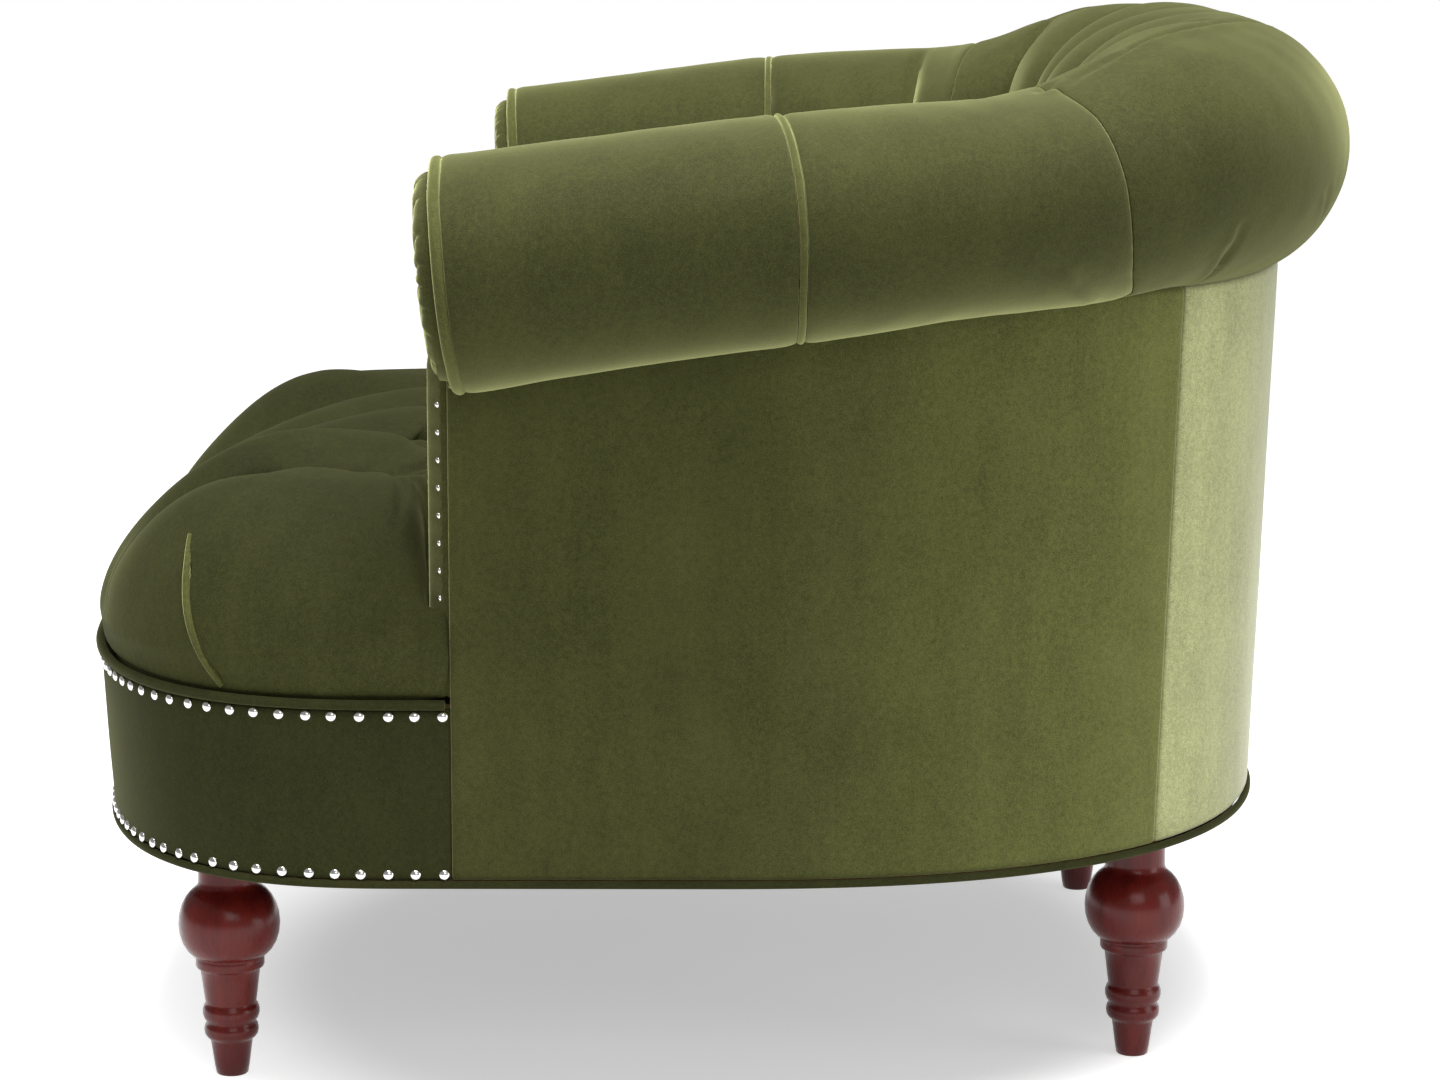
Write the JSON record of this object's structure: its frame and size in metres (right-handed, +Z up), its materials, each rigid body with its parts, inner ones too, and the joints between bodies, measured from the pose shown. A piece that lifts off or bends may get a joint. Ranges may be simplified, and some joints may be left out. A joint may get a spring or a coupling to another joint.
{
  "type": "chesterfield armchair",
  "caption": "Low upholstered armchair with rolled arms running into a tufted barrel back, a bowed tufted seat and turned wooden legs.",
  "frame": {"origin": "on the floor, under the middle of the chair's bounding box", "axes": "+Z up; the sitter faces -Y; +X is the sitter's left"},
  "size_m": [1.0168, 0.9313, 0.7476],
  "materials": {
    "velvet": "matt short-pile olive green velvet",
    "mahogany": "semi-gloss dark red-brown",
    "beech": "plain, unfinished",
    "backing": "plain jute weave",
    "lining": "plain black",
    "steel": "zinc plated"
  },
  "bodies": {
    "root": {"left_outside_arm": "velvet", "right_outside_arm": "velvet", "outside_back": "velvet", "front_border": "velvet", "left_side_rail": "beech", "right_side_rail": "beech", "back_rail": "beech", "front_rail": "beech", "left_front_post": "beech", "right_front_post": "beech", "left_back_post": "beech", "right_back_post": "beech", "back_upright": "beech", "left_arm_roll_shell": "beech", "right_arm_roll_shell": "beech", "left_back_roll_shell": "beech", "right_back_roll_shell": "beech", "left_arm_backing": "backing", "right_arm_backing": "backing", "back_backing": "backing", "left_arm_front_pad": "velvet", "right_arm_front_pad": "velvet", "left_arm_rear_pad": "velvet", "right_arm_rear_pad": "velvet", "back_pad": "velvet", "left_arm_front_welt": "velvet", "right_arm_front_welt": "velvet", "left_arm_mid_welt": "velvet", "right_arm_mid_welt": "velvet", "base_welt": "velvet", "seat_welt": "velvet", "left_arm_facing": "velvet", "right_arm_facing": "velvet", "left_facing_button": "velvet", "right_facing_button": "velvet", "left_post_facing": "velvet", "right_post_facing": "velvet", "seat_pad": "velvet", "spring_cover": "backing", "dust_cover": "lining", "seat_spring_1": "steel", "seat_spring_2": "steel", "seat_spring_3": "steel", "seat_spring_4": "steel", "left_front_corner_block": "beech", "right_front_corner_block": "beech", "left_rear_corner_block": "beech", "right_rear_corner_block": "beech", "leg_front_left": "mahogany", "leg_bolt_front_left": "steel", "tee_nut_front_left": "steel", "leg_rear_left": "mahogany", "leg_bolt_rear_left": "steel", "tee_nut_rear_left": "steel", "leg_front_right": "mahogany", "leg_bolt_front_right": "steel", "tee_nut_front_right": "steel", "leg_rear_right": "mahogany", "leg_bolt_rear_right": "steel", "tee_nut_rear_right": "steel"}
  },
  "joints": []
}
